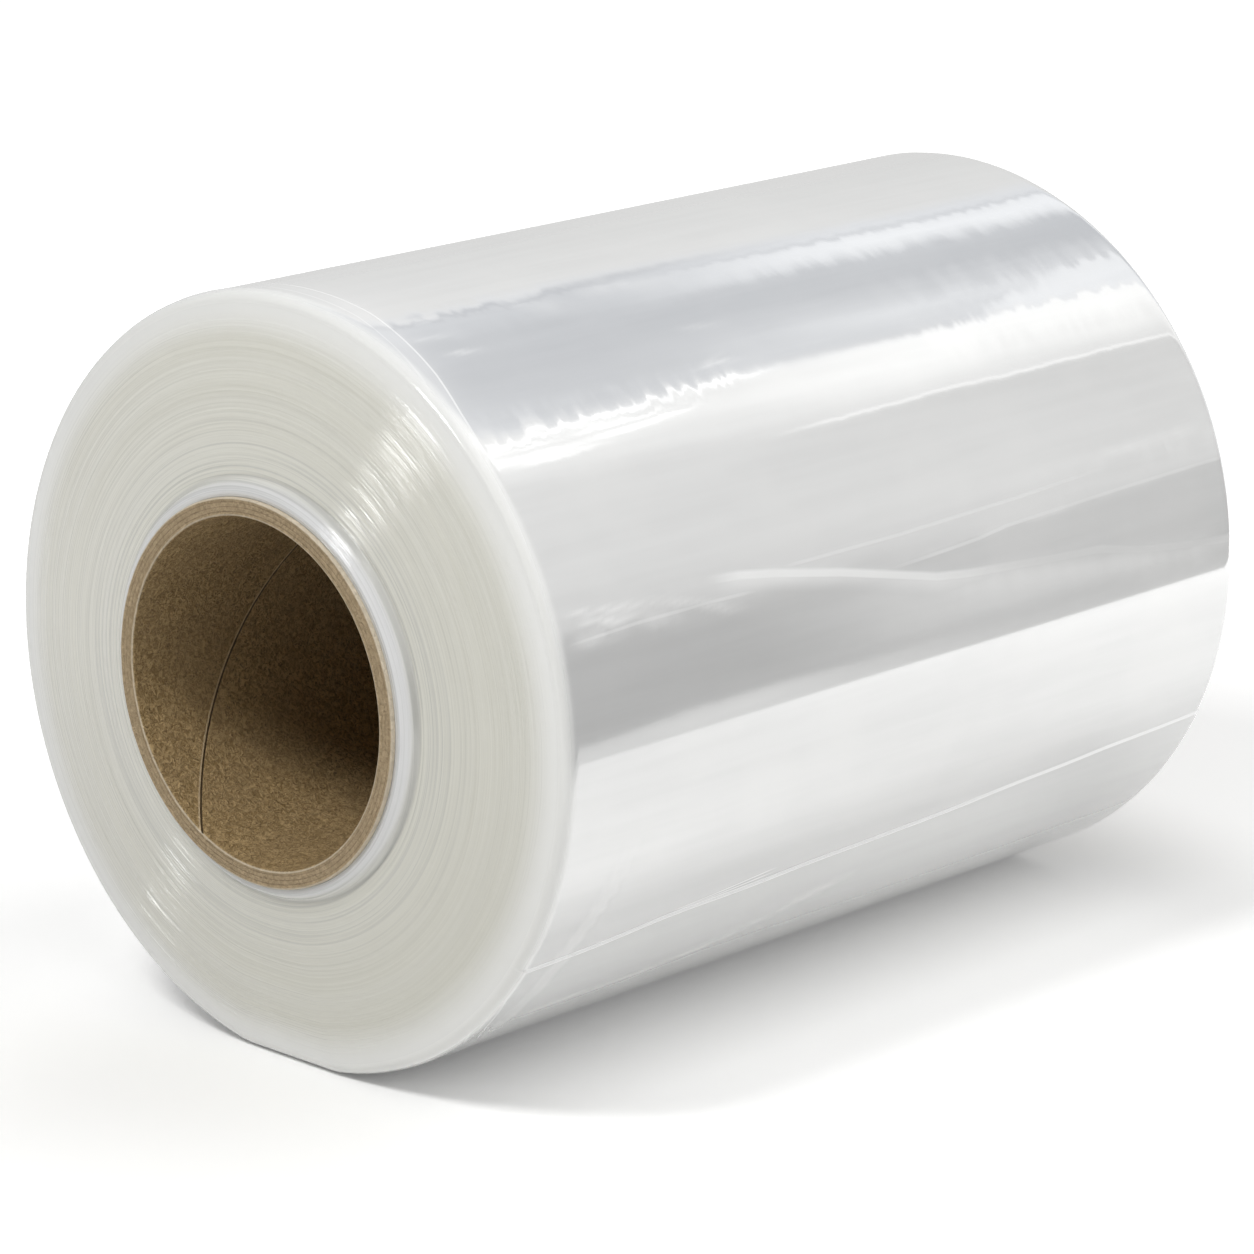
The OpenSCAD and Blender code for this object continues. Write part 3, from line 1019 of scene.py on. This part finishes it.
def tent_object():
    """A graded tent of cloth round the roll's axis, which only mirrors see."""
    verts = []
    for a in np.radians(np.linspace(*TENT_ARC, TENT_STEPS)):
        for x in TENT_X:
            verts.append((x, -TENT_R*math.cos(a), AXIS_H*MM + TENT_R*math.sin(a)))
    faces = [(2*i, 2*i + 1, 2*i + 3, 2*i + 2) for i in range(TENT_STEPS - 1)]
    mesh = bpy.data.meshes.new("light_tent")
    mesh.from_pydata(verts, [], faces)
    mesh.materials.append(tent_material())
    obj = linked("light_tent", mesh)
    obj.visible_camera = False
    obj.visible_diffuse = False
    obj.visible_shadow = False
    return obj


def area_light(name, target, direction, distance, size, power, across=(1, 0, 0)):
    """A soft box that stands in a direction from its target and faces it."""
    light = bpy.data.lights.new(name, "AREA")
    light.shape = "RECTANGLE"
    light.size, light.size_y = size
    light.energy = power
    obj = linked(name, light)
    back = Vector(direction).normalized()
    up = back.cross(Vector(across)).normalized()
    wide = up.cross(back)
    obj.location = Vector(target) + back*distance
    obj.rotation_mode = "QUATERNION"
    obj.rotation_quaternion = Matrix((wide, up, back)).transposed().to_quaternion()
    return obj


# Share of the white room's light that reaches matt surfaces
WORLD_DIFFUSE = 0.05


def white_room():
    """White all round to the eye and in mirrors, and dim as a light."""
    world = bpy.data.worlds.new("white_room")
    bpy.context.scene.world = world
    world.use_nodes = True
    n = Nodes(world.node_tree)
    world.node_tree.nodes.clear()
    strength = n.plus(n.times(seen_directly(n), 1.0 - WORLD_DIFFUSE), WORLD_DIFFUSE)
    background = n.add("ShaderNodeBackground", {"Color": (1, 1, 1, 1), "Strength": strength})
    out = n.add("ShaderNodeOutputWorld")
    n.put(out, "Surface", background.outputs[0])


# Lamps: the direction in which each stands, its distance and its size in metres, and its
# power. The last one stands with its width along a direction of its own
FRONT_SOFTBOX = ((0, -0.66, 0.75), 1.3, (1.8, 1.4), 13.6)
END_KEY = ((-0.54, 0.06, 0.84), 1.1, (0.3, 0.3), 7.2)
END_SOFTBOX = ((-0.89, 0.295, 0.35), 1.2, (0.16, 0.5), 3.0, (0, 0.859, 0.512))


def studio():
    """The table, the tent, the lamps and the white room."""
    cloth = white_table()
    table_object("table", FLOOR_EDGE, FLOOR_REACH, cloth)
    # The table's front half stays out of the film's reflection, where a dark card stands instead
    front = table_object("table_front", -FLOOR_REACH, FLOOR_EDGE, cloth)
    front.visible_glossy = False
    tent_object()
    middle = (0, 0, AXIS_H*MM)
    near_end = (CORE_NEAR*MM, 0, AXIS_H*MM)
    for name, target, lamp in (("front_softbox", middle, FRONT_SOFTBOX),
                               ("end_key", near_end, END_KEY)):
        area_light(name, target, *lamp).visible_glossy = False
    # Only the ridges of the turns' edges mirror this one, as glints
    area_light("end_softbox", near_end, *END_SOFTBOX).visible_diffuse = False
    white_room()


# Camera

# Where the photograph was taken from: two angles, then the distance to the point that the
# camera aims at, and how far right of the roll's middle and above it that lies, in radii
CAMERA_AZIMUTH = math.radians(-46.4)
CAMERA_ELEVATION = math.radians(15.6)
CAMERA_DISTANCE = 13.99
CAMERA_AIM = (-0.032, -0.103)
# Focal length in the photograph's pixels, its size, and a sensor's in millimetres
FOCAL_PIXELS = 5270
PHOTO_SIZE = 1254
SENSOR = 36.0


def camera():
    """The camera that fits the photograph's outline."""
    a, e = CAMERA_AZIMUTH, CAMERA_ELEVATION
    back = Vector((math.sin(a)*math.cos(e), -math.cos(a)*math.cos(e), math.sin(e)))
    right = Vector((math.cos(a), math.sin(a), 0))
    up = back.cross(right)
    radius = ROLL_R*MM
    centre = Vector(((NEAR_RIM + FILM_W/2)*MM, 0, AXIS_H*MM))
    aim = centre + (right*CAMERA_AIM[0] + up*CAMERA_AIM[1])*radius
    data = bpy.data.cameras.new("camera")
    data.sensor_width = SENSOR
    data.lens = FOCAL_PIXELS/PHOTO_SIZE*SENSOR
    data.clip_start, data.clip_end = 0.05, 50
    obj = linked("camera", data)
    obj.location = aim + back*CAMERA_DISTANCE*radius
    obj.rotation_mode = "QUATERNION"
    obj.rotation_quaternion = (-back).to_track_quat("-Z", "Y")
    bpy.context.scene.camera = obj


def add_piece(piece, materials, node):
    """Dresses a node with one mesh and its materials."""
    for mat in materials:
        piece.data.materials.append(mat)
    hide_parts(node)
    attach(piece, "root")


camera()
studio()
add_piece(film_object(), [film_end_material(), film_side_material()], "wound_film")
add_piece(core_object(), [kraft_material()], "paperboard_core")

bpy.context.scene.view_settings.view_transform = "Standard"
